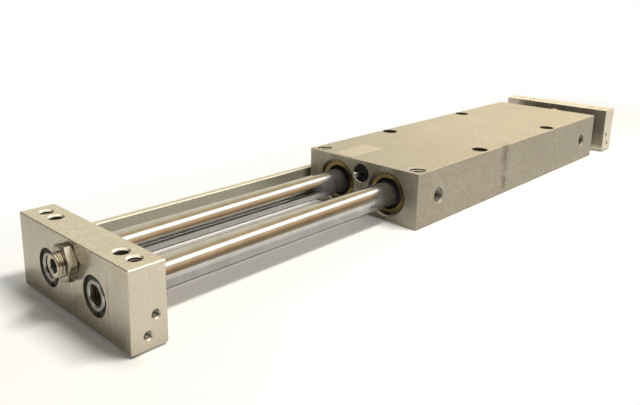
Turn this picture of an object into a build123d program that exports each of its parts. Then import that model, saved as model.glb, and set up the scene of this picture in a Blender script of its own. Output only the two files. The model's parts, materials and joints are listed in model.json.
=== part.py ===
from build123d import *
import os

# Guided pneumatic cylinder of the slide-unit kind: two rods run through a long housing and
# carry a plate at each end. The housing stands still, the plates and rods travel.
# Sizes are in millimetres. The origin is the middle of the housing's base, X runs along the
# rods to the rear plate, +Y is the side with the switch rail, and the air ports are on -Y.

os.makedirs("parts", exist_ok=True)

# Housing
housing_length = 270.0
housing_width = 90.0
housing_height = 36.5
edge_break = 0.4
relief_width = 65.0
relief_depth = 0.8

# Rods and bores, which lie the drop below the middle of the housing's height
rod_diameter = 16.0
rod_spacing = 41.0
rod_drop = 0.05
bore_diameter = 25.0
sliding_gap = 0.05

# Gland seats at the ends of each bore, measured inwards from the housing's end face
seat_step = 1.5
seat_depth = 18.0
seat_mouth = 0.8
snap_groove_depth = 2.0
snap_groove_width = 1.3
snap_groove_step = 0.7
snap_ring_gap = 5.0
snap_ring_play = 0.1

# Glands and what they hold
nose_setback = 2.0
nose_slot = 1.1
nose_wall = 2.6
wiper_setback = 3.2
wiper_depth = 6.0
wiper_lip = 0.6
throat_length = 1.0
throat_gap = 0.4
bush_wall = 1.5
bush_length = 7.2
seal_wall = 1.5
gland_groove_depth = 1.5
gland_groove_width = 2.2
gland_groove_place = 11.0
gland_ring_play = 0.2
gland_ring_corner = 0.3
seat_fit = 0.05

# Shock absorbers and stop bolts share one axis above and between the rods
stop_rise = 9.5
absorber_diameter = 12.0
absorber_length = 48.0
absorber_wall = 1.6
absorber_hole_margin = 2.0
cap_thickness = 5.0
cap_setback = 0.5
plunger_diameter = 3.5
plunger_reach = 7.4
plunger_dome = 0.9
plunger_head_length = 4.0
stop_bolt_diameter = 12.0
stop_bolt_outside = 7.5
stop_bolt_inside = 2.5
stop_bolt_chamfer = 0.9
socket_across_flats = 6.0
socket_turn = 30.0
socket_depth = 7.0
jam_nut_across_flats = 16.0
jam_nut_thickness = 4.4
jam_nut_turn = 8.0
jam_nut_corner = 0.7

# Air ports and passages
port_diameter = 9.7
port_depth = 9.0
port_mouth = 0.9
port_drill_diameter = 6.0
port_setback = 23.5
cross_drill_diameter = 4.0

# Bolt holes in the housing
housing_bolt_spacing_x = 105.0
housing_bolt_edge = 6.3
housing_bolt_diameter = 6.6
housing_bolt_head_diameter = 11.0
housing_bolt_head_depth = 6.5
front_tapped_setback = 7.25
front_tapped_diameter = 10.0
front_tapped_depth = 10.0
front_tapped_mouth = 0.5

# End plates
plate_thickness = 18.0
plate_overhang = 3.0
plate_height = 37.5
plate_lift = 1.0
front_opening = 185.0
rear_opening = 20.0
plate_tapped_edge = 9.1
plate_tapped_diameter = 6.0
plate_pin_step = 10.1
plate_pin_diameter = 6.6
plate_hole_depth = 12.0
plate_hole_mouth = 0.8

# Rod ends in the plates
spigot_step = 0.8
spigot_setback = 0.3
lock_pocket_depth = 5.0
lock_pocket_width = 2.3
lock_ring_setback = 1.2
lock_ring_play = 0.2
lock_slot_width = 2.0
lock_slot_depth = 1.0
rod_port_depth = 10.0
rod_port_mouth = 0.5
rod_passage_diameter = 5.0
rod_cross_diameter = 4.0
rod_cross_setback = 3.6

# Pistons, each clamped between the two halves of its rod
piston_length = 14.0
joint_diameter = 10.0
joint_length = 8.0
piston_seal_depth = 1.9
piston_seal_width = 2.2
piston_seal_place = 4.2
wear_ring_depth = 0.9
wear_ring_width = 3.0

# Switch rail across the far ends of the plates
rail_thickness = 4.8
rail_height = 20.0
rail_rise = 10.6
rail_setback = 3.0
rail_slot_mouth = 2.8
rail_slot_width = 4.0
rail_slot_depth = 2.6
rail_slot_lip = 1.0
rail_hole_rise = 4.15
rail_hole_setback = 10.2
rail_hole_shift = 2.1
rail_screw_diameter = 4.0
rail_screw_head_diameter = 7.0
rail_screw_head_height = 2.2
rail_screw_head_chamfer = 0.9
rail_screw_key = 2.5
rail_screw_key_depth = 1.4
rail_screw_length = 12.0
rail_screw_play = 0.4
plate_end_core_diameter = 3.3
plate_end_hole_depth = 10.0
plate_end_hole_mouth = 0.7
magnet_diameter = 8.0
magnet_thickness = 3.0

# Sizes that follow from the ones above
same_radius = 0.001
rod_height = housing_height / 2 - rod_drop
housing_bolt_spacing_y = housing_width - 2 * housing_bolt_edge
plate_width = housing_width + 2 * plate_overhang
plate_tapped_spacing = plate_width - 2 * plate_tapped_edge
plate_pin_spacing = plate_tapped_spacing - 2 * plate_pin_step
rod_radius = rod_diameter / 2
bore_radius = bore_diameter / 2
running_radius = rod_radius + sliding_gap
seat_radius = bore_radius + seat_step
snap_groove_radius = seat_radius + snap_groove_step
gland_radius = seat_radius - seat_fit
nose_radius = seat_radius - nose_slot
wiper_radius = nose_radius - nose_wall
bush_start = wiper_depth + throat_length
bush_end = bush_start + bush_length
bush_radius = rod_radius + bush_wall
seal_radius = bush_radius + seal_wall
shoulder_depth = snap_groove_depth + snap_groove_width
stop_height = rod_height + stop_rise
absorber_radius = absorber_diameter / 2
cavity_radius = absorber_radius - absorber_wall
plunger_radius = plunger_diameter / 2
stop_bolt_radius = stop_bolt_diameter / 2 - sliding_gap
end_face = housing_length / 2
plate_middle_height = plate_lift + plate_height / 2
plate_top = plate_lift + plate_height
plate_inner_face = {"front": -end_face - front_opening, "rear": end_face + rear_opening}
rod_middle = (plate_inner_face["front"] + plate_inner_face["rear"]) / 2
spigot_radius = rod_radius - spigot_step
lock_pocket_radius = spigot_radius + lock_pocket_width
joint_radius = joint_diameter / 2
piston_radius = bore_radius - sliding_gap
rail_middle_height = plate_lift + rail_rise
rail_screw_radius = rail_screw_diameter / 2
end_hole_radius = {"near": plate_end_core_diameter / 2, "far": rail_screw_radius}

ends = {"front": -1, "rear": 1}
sides = {"near": -1, "far": 1}


def outward_plane(x, y, z, end):
    """Plane square to the rods whose Z points out past the given end and whose Y points up."""
    return Plane(origin=(x, y, z), x_dir=(0, end, 0), z_dir=(end, 0, 0))


def lathe_plane(x, y, z, end):
    """Plane through an axis along the rods: X is the radius and Y points out past the end."""
    return Plane(origin=(x, y, z), x_dir=(0, 0, 1), z_dir=(0, end, 0))


def side_plane(x, y, z, side):
    """Upright plane along the rods whose Z points out of the given side."""
    return Plane(origin=(x, y, z), x_dir=(-side, 0, 0), z_dir=(0, side, 0))


def turned(plane, outline):
    """A piece turned on a lathe from its half outline, given as radius and distance outwards."""
    with BuildPart() as piece:
        with BuildSketch(plane):
            with BuildLine():
                Polyline(*outline, close=True)
            make_face()
        revolve(axis=Axis(plane.origin, plane.y_dir))
    return piece


def mouths(piece, plane, radius):
    """The round edges of the given radius that lie in the plane."""
    rims = piece.edges().filter_by(GeomType.CIRCLE)
    matching = [rim for rim in rims if abs(rim.radius - radius) < same_radius]
    return [rim for rim in matching if plane.contains(rim.arc_center)]


def save(piece, name):
    """Labels a finished piece and writes it as its own STEP file."""
    piece.part.label = name
    export_step(piece.part, f"parts/{name}.step")


# Housing: a block with a shallow relief under it, two stepped bores, the absorber holes,
# the counterbored bolt holes and the air passages
stop_axes = [outward_plane(end * end_face, 0, stop_height, end) for end in ends.values()]
bore_ends = [
    outward_plane(end * end_face, side * rod_spacing / 2, rod_height, end)
    for end in ends.values()
    for side in sides.values()
]
top_face = Plane.XY.offset(housing_height)
absorber_hole_radius = absorber_radius + seat_fit
front_tapped_x = -end_face + front_tapped_setback

with BuildPart() as housing:
    with BuildSketch(Plane.YZ.offset(-end_face)):
        with Locations((0, housing_height / 2)):
            Rectangle(housing_width, housing_height)
    extrude(amount=housing_length)
    chamfer(housing.edges(), length=edge_break)
    with BuildSketch(Plane.YZ.offset(-end_face)):
        Rectangle(relief_width, 2 * relief_depth)
    extrude(amount=housing_length, mode=Mode.SUBTRACT)

    with Locations(*bore_ends):
        CounterBoreHole(bore_radius, seat_radius, seat_depth, depth=end_face)
    with Locations(*stop_axes):
        Hole(absorber_hole_radius, depth=absorber_length + absorber_hole_margin)
    for stop_axis in stop_axes:
        chamfer(mouths(housing, stop_axis, seat_radius), length=seat_mouth)
        chamfer(mouths(housing, stop_axis, absorber_hole_radius), length=edge_break)
    for bore_end in bore_ends:
        with BuildSketch(bore_end.offset(-snap_groove_depth)):
            Circle(snap_groove_radius)
        extrude(amount=-snap_groove_width, mode=Mode.SUBTRACT)

    with Locations(top_face):
        with GridLocations(housing_bolt_spacing_x, housing_bolt_spacing_y, 2, 2):
            CounterBoreHole(
                housing_bolt_diameter / 2,
                housing_bolt_head_diameter / 2,
                housing_bolt_head_depth,
            )
    with Locations(Plane(origin=(front_tapped_x, 0, housing_height))):
        with GridLocations(0, housing_bolt_spacing_y, 1, 2):
            Hole(front_tapped_diameter / 2, depth=front_tapped_depth)
    chamfer(mouths(housing, top_face, front_tapped_diameter / 2), length=front_tapped_mouth)

    for end in ends.values():
        port_x = end * (end_face - port_setback)
        port_face = side_plane(port_x, -housing_width / 2, rod_height, -1)
        with Locations(port_face):
            port_reach = housing_width / 2 - rod_spacing / 2
            CounterBoreHole(port_drill_diameter / 2, port_diameter / 2, port_depth, depth=port_reach)
        chamfer(mouths(housing, port_face, port_diameter / 2), length=port_mouth)
        with Locations(side_plane(port_x, -rod_spacing / 2, rod_height, -1)):
            Hole(cross_drill_diameter / 2, depth=rod_spacing)

    with Locations(side_plane(0, housing_width / 2, rail_middle_height, 1)):
        Hole(magnet_diameter / 2 + seat_fit, depth=magnet_thickness)
save(housing, "housing")


# Magnet, flush in the housing's far side at the height of the rail's slot
with BuildPart(side_plane(0, housing_width / 2, rail_middle_height, 1)) as switch_magnet:
    Cylinder(magnet_diameter / 2, magnet_thickness, align=(Align.CENTER, Align.CENTER, Align.MAX))
save(switch_magnet, "switch_magnet")


# The stack at each bore end: gland, its sealing ring, wiper, guide bush, rod seal and snap ring
def gland(axis):
    """Rod gland with a narrow nose inside the snap ring and pockets for wiper, bush and seal."""
    with BuildPart() as piece:
        with BuildSketch(axis):
            with BuildLine():
                Polyline(
                    (wiper_radius, -nose_setback),
                    (nose_radius, -nose_setback),
                    (nose_radius, -shoulder_depth),
                    (gland_radius, -shoulder_depth),
                    (gland_radius, -seat_depth),
                    (seal_radius, -seat_depth),
                    (seal_radius, -bush_end),
                    (bush_radius, -bush_end),
                    (bush_radius, -bush_start),
                    (rod_radius + throat_gap, -bush_start),
                    (rod_radius + throat_gap, -wiper_depth),
                    (wiper_radius, -wiper_depth),
                    close=True,
                )
            make_face()
            with Locations((gland_radius, -gland_groove_place)):
                Rectangle(2 * gland_groove_depth, gland_groove_width, mode=Mode.SUBTRACT)
        revolve(axis=Axis(axis.origin, axis.y_dir))
    return piece


def wiper(axis):
    """Rubber wiper whose lip leans outwards on to the rod."""
    lip_root = (wiper_setback + wiper_depth) / 2
    return turned(
        axis,
        [
            (wiper_radius, -wiper_depth),
            (wiper_radius, -wiper_setback),
            (wiper_radius - wiper_lip, -wiper_setback),
            (wiper_radius - wiper_lip, -lip_root),
            (running_radius + wiper_lip, -wiper_setback),
            (running_radius, -wiper_setback),
            (running_radius + wiper_lip, -wiper_depth),
        ],
    )


def guide_bush(axis):
    """Plain bush that carries the rod."""
    return turned(
        axis,
        [
            (running_radius, -bush_end),
            (bush_radius, -bush_end),
            (bush_radius, -bush_start),
            (running_radius, -bush_start),
        ],
    )


def rod_seal(axis):
    """Cup seal whose groove opens towards the pressure inside the bore."""
    seal_middle = (running_radius + seal_radius) / 2
    cup_depth = (seat_depth - bush_end) / 2
    return turned(
        axis,
        [
            (running_radius, -bush_end),
            (seal_radius, -bush_end),
            (seal_radius, -seat_depth),
            (seal_middle, -seat_depth + cup_depth),
            (running_radius, -seat_depth),
        ],
    )


def gland_ring(axis):
    """Sealing ring squeezed between the gland's groove and the seat, with rounded corners cut flat."""
    inner = gland_radius - gland_groove_depth
    half_width = gland_groove_width / 2 - gland_ring_play
    corner = gland_ring_corner
    return turned(
        axis,
        [
            (inner, -gland_groove_place - half_width + corner),
            (inner + corner, -gland_groove_place - half_width),
            (seat_radius - corner, -gland_groove_place - half_width),
            (seat_radius, -gland_groove_place - half_width + corner),
            (seat_radius, -gland_groove_place + half_width - corner),
            (seat_radius - corner, -gland_groove_place + half_width),
            (inner + corner, -gland_groove_place + half_width),
            (inner, -gland_groove_place + half_width - corner),
        ],
    )


def snap_ring(face):
    """Flat spring ring, open at the bottom, in the housing's groove in front of the gland's shoulder."""
    ring_outer = snap_groove_radius - snap_ring_play
    ring_inner = (nose_radius + seat_radius) / 2 - snap_ring_play
    with BuildPart() as piece:
        with BuildSketch(face.offset(-snap_groove_depth - snap_ring_play)):
            Circle(ring_outer)
            Circle(ring_inner, mode=Mode.SUBTRACT)
            with Locations((0, -ring_outer)):
                Rectangle(snap_ring_gap, ring_outer, mode=Mode.SUBTRACT)
        extrude(amount=-(snap_groove_width - snap_ring_play))
    return piece


for end_name, end in ends.items():
    for side_name, side in sides.items():
        seat = (end * end_face, side * rod_spacing / 2, rod_height, end)
        place = f"{side_name}_{end_name}"
        save(gland(lathe_plane(*seat)), f"{place}_gland")
        save(wiper(lathe_plane(*seat)), f"{place}_wiper")
        save(guide_bush(lathe_plane(*seat)), f"{place}_bush")
        save(rod_seal(lathe_plane(*seat)), f"{place}_rod_seal")
        save(gland_ring(lathe_plane(*seat)), f"{place}_gland_ring")
        save(snap_ring(outward_plane(*seat)), f"{place}_snap_ring")


# Shock absorbers: a threaded tube shown plain, closed by a cap that guides the plunger
def absorber_body(axis):
    """Closed tube, flush with the housing's end face."""
    return turned(
        axis,
        [
            (0, -absorber_length),
            (absorber_radius, -absorber_length),
            (absorber_radius, -edge_break),
            (absorber_radius - edge_break, 0),
            (cavity_radius, 0),
            (cavity_radius, -absorber_length + absorber_wall),
            (0, -absorber_length + absorber_wall),
        ],
    )


def absorber_cap(axis):
    """Guide cap inside the tube's mouth."""
    cap_radius = cavity_radius - seat_fit
    guide_radius = plunger_radius + sliding_gap
    return turned(
        axis,
        [
            (guide_radius, -cap_setback - cap_thickness),
            (cap_radius, -cap_setback - cap_thickness),
            (cap_radius, -cap_setback),
            (guide_radius + edge_break, -cap_setback),
            (guide_radius, -cap_setback - edge_break),
        ],
    )


def absorber_plunger(axis):
    """Domed plunger rod with the piston head that works in the tube's oil."""
    head_front = cap_setback + cap_thickness + sliding_gap
    head_radius = cavity_radius - sliding_gap
    with BuildPart() as piece:
        with BuildSketch(axis):
            with BuildLine():
                Line((0, -head_front - plunger_head_length), (head_radius, -head_front - plunger_head_length))
                Line((head_radius, -head_front - plunger_head_length), (head_radius, -head_front))
                Line((head_radius, -head_front), (plunger_radius, -head_front))
                Line((plunger_radius, -head_front), (plunger_radius, plunger_reach - plunger_dome))
                TangentArc((0, plunger_reach), (plunger_radius, plunger_reach - plunger_dome), tangent=(1, 0))
                Line((0, plunger_reach), (0, -head_front - plunger_head_length))
            make_face()
        revolve(axis=Axis(axis.origin, axis.y_dir))
    return piece


for end_name, end in ends.items():
    absorber_axis = lathe_plane(end * end_face, 0, stop_height, end)
    save(absorber_body(absorber_axis), f"{end_name}_absorber_body")
    save(absorber_cap(absorber_axis), f"{end_name}_absorber_cap")
    save(absorber_plunger(absorber_axis), f"{end_name}_absorber_plunger")


# End plates: the rods' spigots pass through them and are held by lock rings in the outer pockets
def end_plate(inner_x, end):
    """Plate across the rods with its stop bolt thread, load holes on top and rail holes in both ends."""
    outer_x = inner_x + end * plate_thickness
    middle_x = inner_x + end * plate_thickness / 2
    plate_top_face = Plane(origin=(middle_x, 0, plate_top))
    stop_face = outward_plane(outer_x, 0, stop_height, end)
    with BuildPart() as plate:
        with BuildSketch(outward_plane(outer_x, 0, plate_middle_height, end)):
            Rectangle(plate_width, plate_height)
        extrude(amount=-plate_thickness)
        chamfer(plate.edges(), length=edge_break)
        rod_faces = [
            outward_plane(outer_x, side * rod_spacing / 2, rod_height, end)
            for side in sides.values()
        ]
        with Locations(*rod_faces):
            CounterBoreHole(spigot_radius + seat_fit, lock_pocket_radius, lock_pocket_depth)
        with Locations(stop_face):
            Hole(stop_bolt_diameter / 2)
        with Locations(plate_top_face):
            with GridLocations(0, plate_tapped_spacing, 1, 2):
                Hole(plate_tapped_diameter / 2, depth=plate_hole_depth)
            with GridLocations(0, plate_pin_spacing, 1, 2):
                Hole(plate_pin_diameter / 2, depth=plate_hole_depth)
        chamfer(mouths(plate, plate_top_face, plate_tapped_diameter / 2), length=plate_hole_mouth)
        chamfer(mouths(plate, plate_top_face, plate_pin_diameter / 2), length=plate_hole_mouth)
        for side_name, side in sides.items():
            holes = [
                side_plane(x, side * plate_width / 2, z, side)
                for x, z in rail_hole_places(outer_x, end)
            ]
            with Locations(*holes):
                Hole(end_hole_radius[side_name], depth=plate_end_hole_depth)
            chamfer(mouths(plate, holes[0], end_hole_radius[side_name]), length=plate_end_hole_mouth)
    return plate


def rail_hole_places(outer_x, end):
    """X and Z of the two staggered rail holes in the end of a plate."""
    inner_hole = outer_x - end * (rail_hole_setback + rail_hole_shift)
    outer_hole = outer_x - end * (rail_hole_setback - rail_hole_shift)
    return [
        (inner_hole, rail_middle_height + rail_hole_rise),
        (outer_hole, rail_middle_height - rail_hole_rise),
    ]


def lock_ring(face):
    """Round nut on the rod's spigot, sunk in the plate's pocket, with four key slots."""
    ring_radius = lock_pocket_radius - lock_ring_play
    with BuildPart() as piece:
        with BuildSketch(face.offset(-lock_ring_setback)):
            Circle(ring_radius)
            Circle(spigot_radius + seat_fit, mode=Mode.SUBTRACT)
        extrude(amount=-(lock_pocket_depth - lock_ring_setback))
        with BuildSketch(face.offset(-lock_ring_setback)):
            with PolarLocations(ring_radius, 4):
                Rectangle(2 * lock_slot_depth, lock_slot_width)
        extrude(amount=-lock_slot_depth, mode=Mode.SUBTRACT)
    return piece


def stop_bolt(inner_x, end):
    """Fully threaded stop bolt, shown plain, with a hex socket in its outer end."""
    outer_end = outward_plane(inner_x + end * (plate_thickness + stop_bolt_outside), 0, stop_height, end)
    with BuildPart() as piece:
        with BuildSketch(outer_end):
            Circle(stop_bolt_radius)
        extrude(amount=-(stop_bolt_outside + plate_thickness + stop_bolt_inside))
        chamfer(piece.edges().filter_by(GeomType.CIRCLE), length=stop_bolt_chamfer)
        with BuildSketch(outer_end):
            RegularPolygon(socket_across_flats / 2, 6, major_radius=False, rotation=socket_turn)
        extrude(amount=-socket_depth, mode=Mode.SUBTRACT)
    return piece


def jam_nut(outer_x, end):
    """Thin hexagon nut against the plate, its corners turned off round on both faces."""
    nut_foot = outward_plane(outer_x, 0, stop_height, end)
    corner_radius = jam_nut_across_flats / 3**0.5
    face_radius = jam_nut_across_flats / 2 - jam_nut_corner / 2
    with BuildPart() as piece:
        with BuildSketch(nut_foot):
            RegularPolygon(jam_nut_across_flats / 2, 6, major_radius=False, rotation=jam_nut_turn)
            Circle(stop_bolt_diameter / 2, mode=Mode.SUBTRACT)
        extrude(amount=jam_nut_thickness)
        with BuildSketch(lathe_plane(outer_x, 0, stop_height, end)):
            with BuildLine():
                Polyline(
                    (0, 0),
                    (face_radius, 0),
                    (corner_radius, jam_nut_corner),
                    (corner_radius, jam_nut_thickness - jam_nut_corner),
                    (face_radius, jam_nut_thickness),
                    (0, jam_nut_thickness),
                    close=True,
                )
            make_face()
        revolve(axis=Axis(nut_foot.origin, nut_foot.z_dir), mode=Mode.INTERSECT)
    return piece


for end_name, end in ends.items():
    inner_x = plate_inner_face[end_name]
    outer_x = inner_x + end * plate_thickness
    save(end_plate(inner_x, end), f"{end_name}_plate")
    save(stop_bolt(inner_x, end), f"{end_name}_stop_bolt")
    save(jam_nut(outer_x, end), f"{end_name}_jam_nut")
    for side_name, side in sides.items():
        pocket_face = outward_plane(outer_x, side * rod_spacing / 2, rod_height, end)
        save(lock_ring(pocket_face), f"{side_name}_{end_name}_lock_ring")


# Rods: each is two halves, screwed together through the piston at the middle. Air that comes
# in at a rod's end runs through its bore and leaves by a cross hole beside the piston.
def rod_half(side, end_name, end):
    """Half a rod with its spigot, port, air bore and its part of the threaded joint."""
    y = side * rod_spacing / 2
    shoulder_x = plate_inner_face[end_name]
    piston_face = rod_middle + end * piston_length / 2
    spigot_length = plate_thickness - spigot_setback
    tip = outward_plane(shoulder_x + end * spigot_length, y, rod_height, end)
    passage_end = piston_face + end * (rod_cross_setback + joint_length)
    with BuildPart() as piece:
        with BuildSketch(outward_plane(shoulder_x, y, rod_height, end)):
            Circle(rod_radius)
        extrude(amount=-abs(shoulder_x - piston_face))
        with BuildSketch(outward_plane(shoulder_x, y, rod_height, end)):
            Circle(spigot_radius)
        extrude(amount=spigot_length)
        chamfer(mouths(piece, tip, spigot_radius), length=edge_break)
        with Locations(tip):
            CounterBoreHole(
                rod_passage_diameter / 2,
                port_diameter / 2,
                rod_port_depth,
                depth=abs(tip.origin.X - passage_end),
            )
        chamfer(mouths(piece, tip, port_diameter / 2), length=rod_port_mouth)
        with Locations(Plane(origin=(passage_end, y, rod_height + rod_radius))):
            Hole(rod_cross_diameter / 2, depth=rod_diameter)
        if end_name == "front":
            with BuildSketch(outward_plane(piston_face, y, rod_height, -end)):
                Circle(joint_radius - seat_fit)
            extrude(amount=piston_length + joint_length)
        else:
            with Locations(outward_plane(piston_face, y, rod_height, -end)):
                Hole(joint_radius, depth=joint_length + edge_break)
    return piece


def piston(axis):
    """Piston with two seal grooves and a shallow one for the wear ring between them."""
    with BuildPart() as piece:
        with BuildSketch(axis):
            with Locations(((joint_radius + piston_radius) / 2, 0)):
                Rectangle(piston_radius - joint_radius, piston_length)
            with Locations((piston_radius, piston_seal_place), (piston_radius, -piston_seal_place)):
                Rectangle(2 * piston_seal_depth, piston_seal_width, mode=Mode.SUBTRACT)
            with Locations((piston_radius, 0)):
                Rectangle(2 * wear_ring_depth, wear_ring_width, mode=Mode.SUBTRACT)
        revolve(axis=Axis(axis.origin, axis.y_dir))
    return piece


def piston_ring(axis, place, width, depth):
    """Ring that fills one of the piston's grooves."""
    return turned(
        axis,
        [
            (piston_radius - depth, place - width / 2),
            (piston_radius, place - width / 2),
            (piston_radius, place + width / 2),
            (piston_radius - depth, place + width / 2),
        ],
    )


for side_name, side in sides.items():
    for end_name, end in ends.items():
        save(rod_half(side, end_name, end), f"{side_name}_{end_name}_rod")
    piston_axis = lathe_plane(rod_middle, side * rod_spacing / 2, rod_height, 1)
    save(piston(piston_axis), f"{side_name}_piston")
    for end_name, end in ends.items():
        seal = piston_ring(piston_axis, end * piston_seal_place, piston_seal_width, piston_seal_depth)
        save(seal, f"{side_name}_piston_{end_name}_seal")
    save(piston_ring(piston_axis, 0, wear_ring_width, wear_ring_depth), f"{side_name}_piston_wear_ring")


# Switch rail: a flat bar with a slot for a position switch along its outer face
plate_outer_face = {name: plate_inner_face[name] + end * plate_thickness for name, end in ends.items()}
rail_start = plate_outer_face["front"] + rail_setback
rail_end = plate_outer_face["rear"] - rail_setback
rail_holes = [
    side_plane(x, plate_width / 2 + rail_thickness, z, 1)
    for name, end in ends.items()
    for x, z in rail_hole_places(plate_outer_face[name], end)
]

with BuildPart() as switch_rail:
    with BuildSketch(Plane.YZ.offset(rail_start)):
        with Locations((plate_width / 2 + rail_thickness / 2, rail_middle_height)):
            Rectangle(rail_thickness, rail_height)
        with Locations((plate_width / 2 + rail_thickness, rail_middle_height)):
            Rectangle(2 * rail_slot_depth, rail_slot_mouth, mode=Mode.SUBTRACT)
        slot_pocket = (rail_slot_lip + rail_slot_depth) / 2
        with Locations((plate_width / 2 + rail_thickness - slot_pocket, rail_middle_height)):
            Rectangle(rail_slot_depth - rail_slot_lip, rail_slot_width, mode=Mode.SUBTRACT)
    extrude(amount=rail_end - rail_start)
    chamfer(switch_rail.edges().filter_by(Axis.X).group_by(Axis.Z)[-1], length=edge_break)
    chamfer(switch_rail.edges().filter_by(Axis.X).group_by(Axis.Z)[0], length=edge_break)
    with Locations(*rail_holes):
        Hole(rail_screw_radius + rail_screw_play, depth=rail_thickness)
save(switch_rail, "switch_rail")


# Rail screws: one group of four low-head screws with hex keys
with BuildPart() as rail_screws:
    for rail_hole in rail_holes:
        with BuildSketch(rail_hole):
            Circle(rail_screw_head_diameter / 2)
        extrude(amount=rail_screw_head_height)
        with BuildSketch(rail_hole):
            Circle(rail_screw_radius - seat_fit)
        extrude(amount=-rail_screw_length)
        with BuildSketch(rail_hole.offset(rail_screw_head_height)):
            RegularPolygon(rail_screw_key / 2, 6, major_radius=False)
        extrude(amount=-rail_screw_key_depth, mode=Mode.SUBTRACT)
    head_tops = rail_holes[0].offset(rail_screw_head_height)
    chamfer(mouths(rail_screws, head_tops, rail_screw_head_diameter / 2), length=rail_screw_head_chamfer)
save(rail_screws, "rail_screws")
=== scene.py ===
"""Finishes, threads and setting of the guided pneumatic cylinder.

Lengths are in metres in the cylinder's own frame: the origin is the middle of the housing's
underside, +X runs along the rods to the rear plate, +Y is the side with the switch rail.
"""

import json
import math
from collections import namedtuple

import bmesh
import bpy
from mathutils import Matrix, Vector


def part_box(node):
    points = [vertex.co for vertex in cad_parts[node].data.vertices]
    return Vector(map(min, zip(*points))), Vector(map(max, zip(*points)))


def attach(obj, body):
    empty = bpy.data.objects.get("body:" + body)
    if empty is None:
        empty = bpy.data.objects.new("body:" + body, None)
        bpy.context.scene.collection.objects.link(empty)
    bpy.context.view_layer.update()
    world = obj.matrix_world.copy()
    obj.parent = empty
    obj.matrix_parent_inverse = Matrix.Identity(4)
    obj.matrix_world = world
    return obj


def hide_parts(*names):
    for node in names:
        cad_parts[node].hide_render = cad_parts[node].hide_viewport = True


MM = 0.001
ENDS = {"front": -1, "rear": 1}
SIDES = {"near": -1, "far": 1}

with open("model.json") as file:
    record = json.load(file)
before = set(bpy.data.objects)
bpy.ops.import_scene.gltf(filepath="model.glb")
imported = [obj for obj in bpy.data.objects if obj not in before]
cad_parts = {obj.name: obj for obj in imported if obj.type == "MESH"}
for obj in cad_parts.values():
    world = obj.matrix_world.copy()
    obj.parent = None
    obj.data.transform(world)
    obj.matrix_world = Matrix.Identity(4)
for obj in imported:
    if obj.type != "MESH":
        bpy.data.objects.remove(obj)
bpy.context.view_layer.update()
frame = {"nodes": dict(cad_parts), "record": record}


# Camera at the photograph's viewing angle
PICTURE_WIDTH = 640
PICTURE_HEIGHT = 405
SENSOR_WIDTH = 36.0
FOCAL_PIXELS = 674.2
OPTICAL_CENTRE = (301.1, 150.0)
CAMERA_PLACE = Vector((-466.36, -264.05, 150.10)) * MM
CAMERA_TARGET = Vector((-98.19, 89.60, 20.0)) * MM
CAMERA_ROLL = math.radians(0.85)


def place_camera():
    """Camera with the fitted lens, place, aim and roll."""
    lens = bpy.data.cameras.new("photo_camera")
    lens.sensor_width = SENSOR_WIDTH
    lens.lens = SENSOR_WIDTH * FOCAL_PIXELS / PICTURE_WIDTH
    lens.shift_x = (PICTURE_WIDTH / 2 - OPTICAL_CENTRE[0]) / PICTURE_WIDTH
    lens.shift_y = (OPTICAL_CENTRE[1] - PICTURE_HEIGHT / 2) / PICTURE_WIDTH
    lens.clip_start = 0.01
    lens.clip_end = 50.0
    camera = bpy.data.objects.new("photo_camera", lens)
    bpy.context.scene.collection.objects.link(camera)
    aim = (CAMERA_TARGET - CAMERA_PLACE).to_track_quat("-Z", "Y").to_matrix().to_4x4()
    camera.matrix_world = Matrix.Translation(CAMERA_PLACE) @ aim @ Matrix.Rotation(CAMERA_ROLL, 4, "Z")
    bpy.context.scene.camera = camera


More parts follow.
